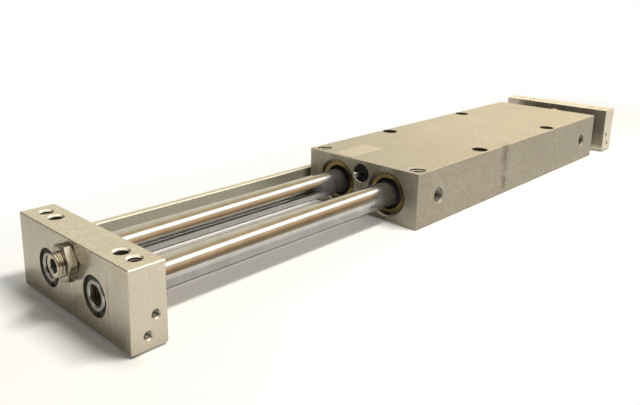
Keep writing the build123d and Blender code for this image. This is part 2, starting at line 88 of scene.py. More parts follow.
# Wiring of shader trees
class Wiring:
    """Adds nodes to a shader tree, each with its inputs set or linked."""

    def __init__(self, tree):
        self.tree = tree

    def node(self, kind, inputs=None, **settings):
        made = self.tree.nodes.new(kind)
        for name, value in settings.items():
            setattr(made, name, value)
        for name, value in (inputs or {}).items():
            self.feed(made.inputs[name], value)
        return made

    def feed(self, socket, value):
        if isinstance(value, bpy.types.NodeSocket):
            self.tree.links.new(value, socket)
        elif isinstance(value, tuple) and len(value) == 3 and socket.type == "RGBA":
            socket.default_value = (*value, 1.0)
        else:
            socket.default_value = value

    def math(self, operation, first, second=0.0, clamp=False):
        made = self.node("ShaderNodeMath", {0: first, 1: second}, operation=operation, use_clamp=clamp)
        return made.outputs[0]

    def vector(self, operation, inputs, output="Vector"):
        made = self.node("ShaderNodeVectorMath", dict(enumerate(inputs)), operation=operation)
        return made.outputs[output]

    def spread(self, value, low, high, to_low=0.0, to_high=1.0):
        """Value spread from one range to another, and held at the ends."""
        inputs = {"Value": value, "From Min": low, "From Max": high, "To Min": to_low, "To Max": to_high}
        return self.node("ShaderNodeMapRange", inputs).outputs["Result"]

    def mix(self, factor, first, second, blend="MIX"):
        made = self.node("ShaderNodeMix", data_type="RGBA", blend_type=blend)
        self.feed(made.inputs[0], factor)
        self.feed(made.inputs[6], first)
        self.feed(made.inputs[7], second)
        return made.outputs[2]

    def cover(self, tone, colour, mask, share):
        """Tone with a colour laid over it, as far as the mask and the share say."""
        return self.mix(self.math("MULTIPLY", mask, share), tone, colour)

    def ramp(self, factor, stops):
        made = self.node("ShaderNodeValToRGB", {"Fac": factor})
        elements = made.color_ramp.elements
        while len(elements) < len(stops):
            elements.new(1.0)
        for element, (place, colour) in zip(elements, stops):
            element.position = place
            element.color = (*colour, 1.0)
        return made.outputs["Color"]

    def place(self):
        """Place of the surface point in the cylinder's frame."""
        return self.node("ShaderNodeTexCoord").outputs["Object"]

    def along(self, vector, axis):
        """Part of a vector along X, Y or Z."""
        return self.node("ShaderNodeSeparateXYZ", {0: vector}).outputs[axis]

    def facing(self, axis):
        """How far the surface faces along an axis, either way."""
        normal = self.node("ShaderNodeNewGeometry").outputs["Normal"]
        return self.math("ABSOLUTE", self.along(normal, axis))

    def openness(self, reach, own_piece_only=False):
        """Share of the space within reach of the surface that is open."""
        made = self.node(
            "ShaderNodeAmbientOcclusion", {"Distance": reach}, samples=8, only_local=own_piece_only)
        return made.outputs["AO"]

    def noise(self, vector, scale, detail=3.0, roughness=0.5):
        inputs = {"Vector": vector, "Scale": scale, "Detail": detail, "Roughness": roughness}
        return self.node("ShaderNodeTexNoise", inputs).outputs["Fac"]

    def group(self, tree, inputs=None):
        made = self.tree.nodes.new("ShaderNodeGroup")
        made.node_tree = tree
        for name, value in (inputs or {}).items():
            self.feed(made.inputs[name], value)
        return made.outputs

    def mask(self, tree, inputs=None):
        return self.group(tree, inputs)["Mask"]


# Effects that several finishes share
FLOAT = "NodeSocketFloat"
VECTOR = "NodeSocketVector"
MASK = [("Mask", FLOAT)]


def effect_tree(name, inputs, outputs):
    """Empty shader node group with its named inputs and outputs."""
    tree = bpy.data.node_groups.new(name, "ShaderNodeTree")
    for label, kind, value in inputs:
        socket = tree.interface.new_socket(name=label, in_out="INPUT", socket_type=kind)
        socket.default_value = value
    for label, kind in outputs:
        tree.interface.new_socket(name=label, in_out="OUTPUT", socket_type=kind)
    given = tree.nodes.new("NodeGroupInput").outputs
    result = tree.nodes.new("NodeGroupOutput").inputs
    return tree, Wiring(tree), given, result


BROAD_GRAIN_SCALE = 0.13
BROAD_GRAIN_SHARE = 0.35


def grain_effect():
    """Fine drawn or ground lines along one direction, as a tone and a height."""
    tree, wiring, given, result = effect_tree(
        "machined_grain", [("Stretch", VECTOR, (1.0, 1.0, 1.0))], [("Tone", FLOAT), ("Height", FLOAT)])
    stretched = wiring.vector("MULTIPLY", [wiring.place(), given["Stretch"]])
    fine = wiring.noise(stretched, 1.0, detail=5.0, roughness=0.65)
    broad = wiring.noise(stretched, BROAD_GRAIN_SCALE, detail=2.0)
    fine_part = wiring.math("MULTIPLY", fine, 1.0 - BROAD_GRAIN_SHARE)
    broad_part = wiring.math("MULTIPLY", broad, BROAD_GRAIN_SHARE)
    wiring.feed(result["Tone"], wiring.math("ADD", fine_part, broad_part))
    wiring.feed(result["Height"], fine)
    return tree


def mottle_effect():
    """Uneven anodising: broad clouds with a fine grain in them."""
    tree, wiring, given, result = effect_tree(
        "anodised_mottle",
        [("Cloud Scale", FLOAT, 30.0), ("Fine Scale", FLOAT, 900.0)],
        [("Cloud", FLOAT), ("Fine", FLOAT)],
    )
    place = wiring.place()
    wiring.feed(result["Cloud"], wiring.noise(place, given["Cloud Scale"], detail=4.0))
    wiring.feed(result["Fine"], wiring.noise(place, given["Fine Scale"], detail=2.0, roughness=0.7))
    return tree


FLAT_EDGE = 0.985
SHARP_EDGE = 0.85


def rubbed_and_highlit_edge_effect():
    """Mask of the edges made bright, partly where handling has rubbed the finish and partly as a painted
    highlight.
    """
    tree, wiring, given, result = effect_tree(
        "rubbed_and_highlit_edges", [("Radius", FLOAT, 0.0006), ("Break Scale", FLOAT, 300.0)], MASK)
    rounded = wiring.node("ShaderNodeBevel", {"Radius": given["Radius"]}, samples=4).outputs["Normal"]
    plain = wiring.node("ShaderNodeNewGeometry").outputs["Normal"]
    alike = wiring.vector("DOT_PRODUCT", [rounded, plain], "Value")
    edge = wiring.spread(alike, FLAT_EDGE, SHARP_EDGE)
    broken = wiring.spread(wiring.noise(wiring.place(), given["Break Scale"], detail=4.0), 0.35, 0.6)
    wiring.feed(result["Mask"], wiring.math("MULTIPLY", edge, broken, clamp=True))
    return tree


OPEN_CORNER = 0.75
CLOSED_CORNER = 0.2


def grime_and_shade_effect():
    """Mask of the corners and pockets that come out darker, partly where dirt gathers and partly as
    painted shade.
    """
    tree, wiring, given, result = effect_tree(
        "corner_grime_and_shade", [("Reach", FLOAT, 0.006), ("Break Scale", FLOAT, 200.0)], MASK)
    closed = wiring.spread(wiring.openness(given["Reach"]), OPEN_CORNER, CLOSED_CORNER)
    broken = wiring.spread(wiring.noise(wiring.place(), given["Break Scale"], detail=4.0), 0.3, 0.65)
    wiring.feed(result["Mask"], wiring.math("MULTIPLY", closed, broken, clamp=True))
    return tree


OPEN_HOLE = 0.62
DEEP_HOLE = 0.25


def hole_shade_effect():
    """Mask of the insides of a piece's own holes, where little light comes and the colour takes painted
    shade.
    """
    tree, wiring, given, result = effect_tree("hole_insides_painted_shade", [("Reach", FLOAT, 0.03)], MASK)
    inner = wiring.openness(given["Reach"], own_piece_only=True)
    wiring.feed(result["Mask"], wiring.spread(inner, OPEN_HOLE, DEEP_HOLE))
    return tree


# Distances along the rod from the middle of the housing
FILM_START = 0.168
FILM_FULL = 0.145


def film_and_shade_effect():
    """Mask of the oily film on a rod close to where it goes into its gland, where the rod also takes
    painted shade.
    """
    tree, wiring, given, result = effect_tree("gland_film_and_shade", [("Reach", FLOAT, 0.030)], MASK)
    covered = wiring.spread(wiring.openness(given["Reach"]), 0.99, 0.90)
    from_middle = wiring.math("ABSOLUTE", wiring.along(wiring.place(), "X"))
    at_gland = wiring.spread(from_middle, FILM_START, FILM_FULL)
    wiring.feed(result["Mask"], wiring.math("MULTIPLY", covered, at_gland))
    return tree


SPECK_PATCH_SCALE = 40.0
SPECK_PATCH_LEVEL = 0.58


def speck_effect():
    """Mask of scattered small marks and pits."""
    tree, wiring, given, result = effect_tree(
        "scattered_specks", [("Scale", FLOAT, 120.0), ("Size", FLOAT, 0.06)], MASK)
    place = wiring.place()
    cells = wiring.node("ShaderNodeTexVoronoi", {"Vector": place, "Scale": given["Scale"]})
    dot = wiring.math("LESS_THAN", cells.outputs["Distance"], given["Size"])
    few = wiring.math("GREATER_THAN", wiring.noise(place, SPECK_PATCH_SCALE), SPECK_PATCH_LEVEL)
    wiring.feed(result["Mask"], wiring.math("MULTIPLY", dot, few))
    return tree


def box_region_effect():
    """Mask of the surface inside a box, fading out over a soft border."""
    tree, wiring, given, result = effect_tree(
        "box_region",
        [("Low", VECTOR, (0.0, 0.0, 0.0)), ("High", VECTOR, (0.01, 0.01, 0.01)),
         ("Border", FLOAT, 0.001)],
        MASK,
    )
    place = wiring.place()
    below = wiring.vector("SUBTRACT", [given["Low"], place])
    above = wiring.vector("SUBTRACT", [place, given["High"]])
    outside = wiring.vector("MAXIMUM", [below, above])
    parts = wiring.node("ShaderNodeSeparateXYZ", {0: outside}).outputs
    most = wiring.math("MAXIMUM", wiring.math("MAXIMUM", parts["X"], parts["Y"]), parts["Z"])
    inside = wiring.math("SUBTRACT", 1.0, wiring.math("DIVIDE", most, given["Border"]), clamp=True)
    wiring.feed(result["Mask"], inside)
    return tree


def turned_rings_effect():
    """Fine turned rings round the line of the stop bolts and absorbers."""
    tree, wiring, given, result = effect_tree(
        "turned_rings", [("Height", FLOAT, 0.0277), ("Pitch", FLOAT, 0.0014)], [("Rings", FLOAT)])
    parts = wiring.node("ShaderNodeSeparateXYZ", {0: wiring.place()}).outputs
    rise = wiring.math("SUBTRACT", parts["Z"], given["Height"])
    rise_square = wiring.math("MULTIPLY", rise, rise)
    side_square = wiring.math("MULTIPLY", parts["Y"], parts["Y"])
    away = wiring.math("SQRT", wiring.math("ADD", rise_square, side_square))
    turns = wiring.math("DIVIDE", away, given["Pitch"])
    wave = wiring.math("SINE", wiring.math("MULTIPLY", turns, 2 * math.pi))
    wiring.feed(result["Rings"], wiring.spread(wave, -1.0, 1.0))
    return tree


GRAIN = grain_effect()
MOTTLE = mottle_effect()
RUBBED_AND_HIGHLIT = rubbed_and_highlit_edge_effect()
GRIME_AND_SHADE = grime_and_shade_effect()
HOLE_SHADE = hole_shade_effect()
FILM_AND_SHADE = film_and_shade_effect()
SPECKS = speck_effect()
BOX_REGION = box_region_effect()
TURNED_RINGS = turned_rings_effect()


# Finishes
def new_finish(name, **settings):
    """Material with a Principled shader whose uniform values are set on the shader itself."""
    material = bpy.data.materials.new(name)
    material.use_nodes = True
    wiring = Wiring(material.node_tree)
    shader = material.node_tree.nodes["Principled BSDF"]
    for label, value in settings.items():
        wiring.feed(shader.inputs[label.replace("_", " ").title()], value)
    return material, wiring, shader


def bump(wiring, shader, height, strength, distance):
    """Raises and sinks the surface's shading by a height."""
    made = wiring.node("ShaderNodeBump", {"Height": height, "Strength": strength, "Distance": distance})
    wiring.feed(shader.inputs["Normal"], made.outputs["Normal"])


Mark = namedtuple("Mark", "low high border colour share break_scale", defaults=[0.0])


def lay_mark(wiring, tone, mark):
    """Tone with a single mark on it, broken up where the mark has a break scale."""
    region = wiring.mask(BOX_REGION, {"Low": mark.low, "High": mark.high, "Border": mark.border})
    share = wiring.math("MULTIPLY", region, mark.share)
    if mark.break_scale:
        patchy = wiring.spread(wiring.noise(wiring.place(), mark.break_scale), 0.38, 0.62)
        share = wiring.math("MULTIPLY", share, patchy)
    return wiring.mix(share, tone, mark.colour)


CLOUD_SHARE = 0.5
SIDE_PAINTED_SHADE = (0.54, 0.54, 0.54)
RUBBED_AND_HIGHLIT_SHARE = 0.35
GRIME_AND_SHADE_TONE = (0.05, 0.04, 0.03)
GRIME_AND_SHADE_SHARE = 0.4
HOLE_SHADE_TONE = (0.030, 0.026, 0.020)
SPECK_SHARE = 0.5
SMOOTHER_LINES = 0.065
ROUGHER_LINES = 0.075
GRAIN_DEPTH = 0.010 * MM


def satin_alloy(name, colour, dark, bright, stretch, roughness, metallic, side_shade=0.0, marks=None,
                lines=0.25, pore_scale=900.0, pores=0.60, hole_shade=0.85):
    """Satin anodised aluminium: drawn grain, uneven tone, edges lit by wear and painted highlight,
    corners darkened by grime and painted shade, painted shade in holes, and single marks.

    The upright faces take the share side_shade of a darker tone than the top: painted shade.
    """
    material, wiring, shader = new_finish(name, metallic=metallic)
    grain = wiring.group(GRAIN, {"Stretch": stretch})
    mottle = wiring.group(MOTTLE, {"Fine Scale": pore_scale})
    tone = wiring.cover(colour, dark, wiring.spread(mottle["Cloud"], 0.3, 0.7), CLOUD_SHARE)
    lined = wiring.spread(grain["Tone"], 0.35, 0.65, -lines, lines)
    line_tone = wiring.mix(wiring.math("GREATER_THAN", lined, 0.0), dark, bright)
    tone = wiring.mix(wiring.math("ABSOLUTE", lined), tone, line_tone)
    tone = wiring.mix(wiring.spread(mottle["Fine"], 0.40, 0.60, 0.0, pores), tone, dark)
    # Painted shade: upright faces darker than the top.
    if side_shade:
        side_shaded = wiring.mix(1.0, tone, SIDE_PAINTED_SHADE, "MULTIPLY")
        tone = wiring.mix(wiring.spread(wiring.facing("Z"), 0.7, 0.1, 0.0, side_shade), tone, side_shaded)
    # Edges made lighter: partly rubbed wear, partly painted highlight.
    tone = wiring.cover(tone, bright, wiring.mask(RUBBED_AND_HIGHLIT), RUBBED_AND_HIGHLIT_SHARE)
    # Corners and pockets made darker: partly grime, partly painted shade.
    tone = wiring.cover(tone, GRIME_AND_SHADE_TONE, wiring.mask(GRIME_AND_SHADE), GRIME_AND_SHADE_SHARE)
    # Painted shade inside the piece's own holes.
    tone = wiring.cover(tone, HOLE_SHADE_TONE, wiring.mask(HOLE_SHADE), hole_shade)
    tone = wiring.cover(tone, dark, wiring.mask(SPECKS), SPECK_SHARE)
    for mark in (marks or {}).values():
        tone = lay_mark(wiring, tone, mark)
    wiring.feed(shader.inputs["Base Color"], tone)
    smooth = roughness - SMOOTHER_LINES * lines
    rough = roughness + ROUGHER_LINES * lines
    wiring.feed(shader.inputs["Roughness"], wiring.spread(grain["Tone"], 0.3, 0.7, smooth, rough))
    bump(wiring, shader, grain["Height"], 0.1, GRAIN_DEPTH)
    return material


DARKER_MOTTLE = 0.62
PLAIN_CLOUD_SCALE = 120.0
PLAIN_FINE_SCALE = 600.0
PLAIN_GRAIN_DEPTH = 0.02 * MM


def uneven_surface(wiring, colour, roughness):
    """Slightly uneven tone and roughness, and the fine grain, of a turned, moulded or plated surface."""
    mottle = wiring.group(MOTTLE, {"Cloud Scale": PLAIN_CLOUD_SCALE, "Fine Scale": PLAIN_FINE_SCALE})
    darker = tuple(part * DARKER_MOTTLE for part in colour)
    tone = wiring.mix(mottle["Cloud"], colour, darker)
    rough = wiring.spread(mottle["Fine"], 0.3, 0.7, roughness * 0.8, roughness * 1.25)
    return tone, rough, mottle["Fine"]


def plain_finish(name, colour, metallic, roughness, hole_shade=0.0):
    """Simple turned, moulded or plated finish with a little uneven tone, and painted shade inside its
    holes if asked for.
    """
    material, wiring, shader = new_finish(name, metallic=metallic)
    tone, rough, fine = uneven_surface(wiring, colour, roughness)
    if hole_shade:
        # Painted shade inside the piece's own holes.
        tone = wiring.cover(tone, HOLE_SHADE_TONE, wiring.mask(HOLE_SHADE), hole_shade)
    wiring.feed(shader.inputs["Base Color"], tone)
    wiring.feed(shader.inputs["Roughness"], rough)
    bump(wiring, shader, fine, 0.3, PLAIN_GRAIN_DEPTH)
    return material


CHROME_COLOUR = (0.62, 0.62, 0.62)
CHROME_ROUGHNESS = 0.055
CHROME_GRAIN_DEPTH = 0.002 * MM
ROD_HOLE_SHADE_SHARE = 0.95
FILM_AND_SHADE_TONE = (0.080, 0.076, 0.068)
FILM_ROUGHNESS = 0.24
FILM_METALLIC = 0.40
TURNED_END_TONE = (0.33, 0.315, 0.285)
TURNED_END_SHARE = 0.7
TURNED_END_ROUGHNESS = 0.34


def rod_chrome(name):
    """Mirror-bright chrome, with dull turned ends, painted shade in its bores, and an oily film with
    painted shade at the glands.
    """
    material, wiring, shader = new_finish(name)
    tone, rough, fine = uneven_surface(wiring, CHROME_COLOUR, CHROME_ROUGHNESS)
    # Painted shade inside the rod's bore.
    tone = wiring.cover(tone, HOLE_SHADE_TONE, wiring.mask(HOLE_SHADE), ROD_HOLE_SHADE_SHARE)
    film = wiring.mask(FILM_AND_SHADE)
    # Oily film and painted shade near the gland.
    tone = wiring.mix(film, tone, FILM_AND_SHADE_TONE)
    turned_end = wiring.spread(wiring.facing("X"), 0.80, 0.95)
    tone = wiring.cover(tone, TURNED_END_TONE, turned_end, TURNED_END_SHARE)
    rough = wiring.math("MAXIMUM", rough, wiring.math("MULTIPLY", turned_end, TURNED_END_ROUGHNESS))
    rough = wiring.math("MAXIMUM", rough, wiring.math("MULTIPLY", film, FILM_ROUGHNESS))
    wiring.feed(shader.inputs["Base Color"], tone)
    wiring.feed(shader.inputs["Metallic"], wiring.spread(film, 0.0, 1.0, 1.0, FILM_METALLIC))
    wiring.feed(shader.inputs["Roughness"], rough)
    bump(wiring, shader, fine, 0.3, CHROME_GRAIN_DEPTH)
    return material


OXIDE_METALLIC = 0.35
LIGHTER_RING = 2.6
RING_DEPTH = 0.08 * MM


def ringed_black(name, colour, roughness):
    """Black oxide finish with faint turned rings."""
    material, wiring, shader = new_finish(name, metallic=OXIDE_METALLIC, roughness=roughness)
    rings = wiring.group(TURNED_RINGS)["Rings"]
    lighter = tuple(part * LIGHTER_RING for part in colour)
    wiring.feed(shader.inputs["Base Color"], wiring.mix(rings, colour, lighter))
    bump(wiring, shader, rings, 0.5, RING_DEPTH)
    return material


BRASS_COLOUR = (0.46, 0.35, 0.17)
BROWNED_BRASS = (0.13, 0.09, 0.04)
BRASS_DIRT = (0.01, 0.008, 0.005)
BRASS_ROUGHNESS = 0.27
BROWN_AT_FOOT = 0.55
BROWN_IN_CLOUDS = 0.3
BROWN_FROM_HEIGHT = 0.0125
BROWN_FULL_HEIGHT = 0.006
DIRT_FROM_HEIGHT = 0.0105
DIRT_FULL_HEIGHT = 0.0075
BRASS_PIT_DEPTH = 0.04 * MM


def worn_brass(name):
    """Dull brass, browner and darker in clouds and towards the bottom, with dark specks low down."""
    material, wiring, shader = new_finish(name, metallic=1.0, roughness=BRASS_ROUGHNESS)
    place = wiring.place()
    height = wiring.along(place, "Z")
    clouds = wiring.spread(wiring.noise(place, 260.0, detail=4.0), 0.35, 0.65)
    foot = wiring.spread(height, BROWN_FROM_HEIGHT, BROWN_FULL_HEIGHT)
    foot_brown = wiring.math("MULTIPLY", foot, BROWN_AT_FOOT)
    cloud_brown = wiring.math("MULTIPLY", clouds, BROWN_IN_CLOUDS)
    brown = wiring.math("ADD", foot_brown, cloud_brown, clamp=True)
    tone = wiring.mix(brown, BRASS_COLOUR, BROWNED_BRASS)
    pits = wiring.spread(wiring.noise(place, 900.0, detail=2.0), 0.60, 0.66)
    dirt = wiring.math("MULTIPLY", pits, wiring.spread(height, DIRT_FROM_HEIGHT, DIRT_FULL_HEIGHT))
    wiring.feed(shader.inputs["Base Color"], wiring.mix(dirt, tone, BRASS_DIRT))
    bump(wiring, shader, clouds, 0.3, BRASS_PIT_DEPTH)
    return material


ALONG_RODS = (60.0, 1400.0, 1400.0)
UPRIGHT = (1400.0, 1400.0, 60.0)
STAIN = (0.16, 0.14, 0.10)
# Each mark: low and high corners of its box, soft border, colour, share, and scale of its breaks
HOUSING_MARKS = {
    "blank_label": Mark(
        (-0.1325, 0.0087, 0.0363), (-0.1005, 0.0243, 0.0367), 0.0004, (0.84, 0.78, 0.63), 0.60),
    "stain_streak": Mark(
        (-0.0290, -0.0453, 0.0060), (-0.0245, -0.0447, 0.0340), 0.0050, STAIN, 0.65, 150.0),
    "stain_top": Mark(
        (-0.0275, -0.0453, 0.0260), (-0.0250, -0.0447, 0.0350), 0.0020, STAIN, 0.80),
    "stain_foot": Mark(
        (-0.0265, -0.0453, 0.0050), (-0.0240, -0.0447, 0.0120), 0.0020, STAIN, 0.80),
    "top_speck": Mark(
        (0.0943, -0.0349, 0.0363), (0.0951, -0.0341, 0.0367), 0.0004, (0.03, 0.03, 0.02), 0.9),
    # Front face made lighter in patches: painted light that takes back part of the painted side shade.
    "painted_light_front_face": Mark(
        (-0.1352, -0.0452, -0.001), (-0.1348, 0.0452, 0.0362), 0.0002, (0.60, 0.56, 0.48), 0.85, 60.0),
    # Front end of the top, and the faces near it, made darker: painted shade of light falling off
    # towards the front.
    "painted_shade_front_end": Mark(
        (-0.2000, -0.0600, 0.0340), (-0.1300, 0.0600, 0.0380), 0.1200, (0.36, 0.33, 0.265), 0.31),
}
PLATE_MARKS = {
    "scratch": Mark(
        (-0.3382, -0.0323, 0.0235), (-0.3378, -0.0315, 0.0305), 0.0006, (0.36, 0.34, 0.36), 0.6),
    "scuff_over_nut": Mark(
        (-0.3382, 0.0020, 0.0310), (-0.3378, 0.0030, 0.0340), 0.0010, (0.30, 0.27, 0.20), 0.4),
    # Near end faces of both plates made lighter: painted light.
    "painted_light_near_ends": Mark(
        (-0.40, -0.0482, 0.0), (0.25, -0.0478, 0.04), 0.0002, (0.69, 0.64, 0.525), 0.55),
}
# Each plain finish: its name, colour, metallic, roughness, and painted shade inside holes if any
PLAIN_FINISHES = {
    "piston": ("piston_alloy", (0.70, 0.70, 0.69), 1.0, 0.30),
    "bush": ("bush_bronze", (0.50, 0.35, 0.18), 1.0, 0.45),
    "wiper": ("wiper_rubber", (0.02, 0.02, 0.02), 0.0, 0.55),
    "seal": ("seal_rubber", (0.03, 0.03, 0.03), 0.0, 0.50),
    "wear_ring": ("wear_ring_plastic", (0.25, 0.14, 0.08), 0.0, 0.50),
    "snap_ring": ("snap_ring_steel", (0.38, 0.35, 0.30), 1.0, 0.35),
    "plunger": ("plunger_steel", (0.82, 0.82, 0.80), 1.0, 0.20),
    "stop_bolt": ("stop_bolt_nickel", (0.64, 0.565, 0.45), 1.0, 0.13, 0.97),
    "jam_nut": ("jam_nut_nickel", (0.46, 0.42, 0.345), 1.0, 0.28),
    "lock_ring": ("lock_ring_black", (0.018, 0.018, 0.018), 0.3, 0.40),
    "rail_screw": ("rail_screw_black", (0.03, 0.03, 0.03), 0.5, 0.35),
    # Near-black socket finish: painted shade inside the stop bolts' hex sockets.
    "socket": ("painted_shade_socket", (0.022, 0.019, 0.015), 0.4, 0.50),
    # Dark and light copies of one thread finish: painted shade in the rod ports and plate holes, painted
    # light in the other tapped holes.
    "thread": ("painted_shade_thread", (0.13, 0.12, 0.10), 1.0, 0.32),
    "painted_lit_thread": ("painted_lit_thread", (0.40, 0.38, 0.33), 1.0, 0.30),
    "magnet": ("magnet_nickel", (0.55, 0.55, 0.55), 1.0, 0.25),
}


def make_finishes():
    """Every finish, under the name of its material slot."""
    finishes = {slot: plain_finish(*values) for slot, values in PLAIN_FINISHES.items()}
    finishes["housing"] = satin_alloy(
        "housing_alloy", colour=(0.64, 0.585, 0.465), dark=(0.46, 0.42, 0.335),
        bright=(0.76, 0.70, 0.58), stretch=ALONG_RODS, roughness=0.40, metallic=0.75,
        side_shade=0.82, marks=HOUSING_MARKS, lines=0.30, pore_scale=520.0, pores=0.85)
    finishes["plate"] = satin_alloy(
        "plate_alloy", colour=(0.69, 0.635, 0.53), dark=(0.52, 0.478, 0.395),
        bright=(0.83, 0.78, 0.67), stretch=UPRIGHT, roughness=0.24, metallic=0.77,
        side_shade=0.28, marks=PLATE_MARKS, lines=0.70, hole_shade=0.60)
    finishes["rail"] = satin_alloy(
        "rail_alloy", colour=(0.74, 0.70, 0.585), dark=(0.535, 0.505, 0.42),
        bright=(0.85, 0.81, 0.69), stretch=ALONG_RODS, roughness=0.34, metallic=0.75)
    finishes["rod"] = rod_chrome("rod_chrome")
    finishes["gland"] = worn_brass("gland_brass")
    finishes["absorber"] = ringed_black("absorber_black", (0.006, 0.006, 0.006), 0.28)
    finishes["absorber_cap"] = ringed_black("absorber_cap_black", (0.007, 0.007, 0.007), 0.24)
    return finishes


def dress(finishes):
    """Gives each carried-over node the finish of its material slot."""
    for part in frame["record"]["subparts"]:
        node = frame["nodes"][part["node"]]
        node.data.materials.clear()
        node.data.materials.append(finishes[part["material_slot"]])


# Threads and the pieces that carry them
def add_piece(name, shape, place, finish, body):
    """Piece made from a finished shape, put in its place on its body."""
    bmesh.ops.recalc_face_normals(shape, faces=shape.faces)
    mesh = bpy.data.meshes.new(name)
    shape.to_mesh(mesh)
    shape.free()
    mesh.transform(place)
    piece = bpy.data.objects.new(name, mesh)
    bpy.context.scene.collection.objects.link(piece)
    mesh.materials.append(finish)
    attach(piece, body)
    return piece


def axis_frame(origin, direction):
    """Matrix that takes Z to the direction and the origin to the point."""
    turn = Vector(direction).to_track_quat("Z", "Y").to_matrix().to_4x4()
    return Matrix.Translation(Vector(origin)) @ turn


Thread = namedtuple("Thread", "radius pitch")
PORT_THREAD = Thread(4.85 * MM, 0.907 * MM)
TOP_THREAD = Thread(5.0 * MM, 1.25 * MM)
PLATE_THREAD = Thread(3.0 * MM, 1.0 * MM)
END_THREAD = Thread(1.65 * MM, 0.7 * MM)
# Steps round one turn, and the ridge's section in pitches of its thread
RIDGE_STEPS = 36
RIDGE_HEIGHT = 0.45
RIDGE_HALF_WIDTH = 0.42
RIDGE_SUNK = 0.08
RIDGE_LEAST = 0.02


def thread_ridge(name, mouth, outward, thread, depth, finish, body):
    """Helical ridge inside a tapped hole, from just under its mouth down to its depth.

    It starts and ends in a run-out of half a turn, where its crest sinks into the wall.
    """
    radius, pitch = thread
    half_width = RIDGE_HALF_WIDTH * pitch
    root = radius + RIDGE_SUNK * pitch
    section = [(-half_width, root), (0.0, radius - RIDGE_HEIGHT * pitch), (half_width, root)]
    count = int((depth - pitch) / pitch * RIDGE_STEPS)
    shape = bmesh.new()
    rings = []
    for i in range(count + 1):
        angle = 2 * math.pi * i / RIDGE_STEPS
        drop = -0.5 * pitch - pitch * i / RIDGE_STEPS
        fade = min(1.0, i / RIDGE_STEPS * 2, (count - i) / RIDGE_STEPS * 2)
        ring = []
        for shift, reach in section:
            r = root + (reach - root) * max(fade, RIDGE_LEAST)
            ring.append(shape.verts.new((r * math.cos(angle), r * math.sin(angle), drop + shift)))
        rings.append(ring)
    for here, after in zip(rings, rings[1:]):
        for k in range(3):
            shape.faces.new((here[k], here[(k + 1) % 3], after[(k + 1) % 3], after[k]))
    shape.faces.new(rings[0][::-1])
    shape.faces.new(rings[-1])
    add_piece(name, shape, axis_frame(mouth, outward), finish, body)


BOLT_PITCH = 1.25 * MM
BOLT_THREAD_DEPTH = 0.58 * BOLT_PITCH
BOLT_CHAMFER = 0.8 * MM
BOLT_CHAMFER_SLOPE = 0.9
BOLT_CREST_WIDTH = 1.25
BOLT_STEPS = 48
BOLT_ROWS_PER_TURN = 8
SOCKET_HALF_WIDTH = 3.0 * MM
SOCKET_DEPTH = 7.0 * MM
SOCKET_TIP_HEIGHT = 0.6 * MM
SOCKET_RIM_RADIUS = 3.75 * MM
SOCKET_RIM_DEPTH = 0.3 * MM


def threaded_radii(z, radius, length):
    """Radii round the bolt at one height, with its thread and its chamfered ends."""
    limit = radius - max(0.0, BOLT_CHAMFER - min(-z, length + z)) * BOLT_CHAMFER_SLOPE
    radii = []
    for i in range(BOLT_STEPS):
        phase = (z / BOLT_PITCH + i / BOLT_STEPS) % 1.0
        crest = min(1.0, abs(2 * phase - 1) * BOLT_CREST_WIDTH)
        radii.append(min(limit, radius - BOLT_THREAD_DEPTH + BOLT_THREAD_DEPTH * crest))
    return radii


def hexagon_radii():
    """Radii round the hex socket."""
    radii = []
    for i in range(BOLT_STEPS):
        off = (2 * math.pi * i / BOLT_STEPS + math.pi / 6) % (math.pi / 3) - math.pi / 6
        radii.append(SOCKET_HALF_WIDTH / math.cos(off))
    return radii


def add_ring(shape, z, radii):
    """Ring of points round the Z axis, one for each radius."""
    ring = []
    for i, r in enumerate(radii):
        angle = 2 * math.pi * i / len(radii)
        ring.append(shape.verts.new((r * math.cos(angle), r * math.sin(angle), z)))
    return ring


def make_stop_bolt(end_name, end, finish, socket_finish):
    """Stop bolt with its fine thread and hex socket, in place of the plain solid."""
    node = f"{end_name}_stop_bolt"
    low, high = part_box(node)
    outer_x = low.x if end < 0 else high.x
    length = high.x - low.x
    radius = (high.y - low.y) / 2
    centre_z = (low.z + high.z) / 2
    rows = int(length / BOLT_PITCH * BOLT_ROWS_PER_TURN)
    shape = bmesh.new()
    outer = []
    for row in range(rows + 1):
        z = -length * row / rows
        outer.append(add_ring(shape, z, threaded_radii(z, radius, length)))
    inner = [
        outer[0],
        add_ring(shape, 0.0, [SOCKET_RIM_RADIUS] * BOLT_STEPS),
        add_ring(shape, -SOCKET_RIM_DEPTH, hexagon_radii()),
        add_ring(shape, -SOCKET_DEPTH + SOCKET_TIP_HEIGHT, hexagon_radii()),
    ]
    tip = shape.verts.new((0, 0, -SOCKET_DEPTH))
    neighbours = [(i, (i + 1) % BOLT_STEPS) for i in range(BOLT_STEPS)]
    # The socket's walls and tip take the second finish, a near-black painted shade.
    for here, after in zip(inner, inner[1:]):
        for i, n in neighbours:
            face = shape.faces.new((here[i], here[n], after[n], after[i]))
            face.material_index = 1 if here is inner[2] else 0
    for i, n in neighbours:
        shape.faces.new((inner[-1][i], inner[-1][n], tip)).material_index = 1
    for here, after in zip(outer, outer[1:]):
        for i, n in neighbours:
            shape.faces.new((here[i], after[i], after[n], here[n]))
    shape.faces.new(outer[-1])
    place = axis_frame((outer_x, 0, centre_z), (end, 0, 0))
    piece = add_piece(f"{node}_threaded", shape, place, finish, node)
    piece.data.shade_smooth()
    piece.data.materials.append(socket_finish)
    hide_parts(node)


